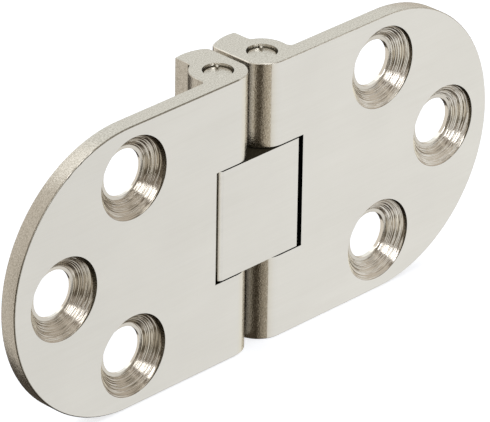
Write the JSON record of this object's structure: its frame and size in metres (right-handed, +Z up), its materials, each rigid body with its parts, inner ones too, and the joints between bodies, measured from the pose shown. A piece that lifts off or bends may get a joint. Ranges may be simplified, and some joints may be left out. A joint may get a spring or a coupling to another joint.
{
  "type": "flat folding table hinge",
  "caption": "Flat round-ended flap hinge with two countersunk leaves on a flush centre link and parallel pins, so that it folds face to face and lies flat open.",
  "frame": {"origin": "middle of the foot of the hinge: under the midpoint between the pins along X, half way through its depth, on the surface it stands on", "axes": "+X along the open hinge from the left leaf to the right, +Z up along both pins, -Y out of the countersunk show face"},
  "size_m": [0.065, 0.0078, 0.03],
  "materials": {
    "nickel_leaf": "matt nickel plating, finely brushed show face",
    "nickel_link": "matt nickel plating, finely brushed show face",
    "nickel_pin": "matt nickel plating, turned"
  },
  "bodies": {
    "left_leaf": {"left_leaf": "nickel_leaf", "left_pin": "nickel_pin"},
    "link": {"centre_link": "nickel_link"},
    "right_leaf": {"right_leaf": "nickel_leaf", "right_pin": "nickel_pin"}
  },
  "joints": [
    {"name": "left_fold", "type": "hinge", "parent": "left_leaf", "child": "link", "pos_m": [-0.003, -0.001, 0.015], "axis": [0, 0, -1], "range_deg": [-2, 90]},
    {"name": "right_fold", "type": "hinge", "parent": "link", "child": "right_leaf", "pos_m": [0.003, -0.001, 0.015], "axis": [0, 0, -1], "range_deg": [-2, 90]}
  ]
}
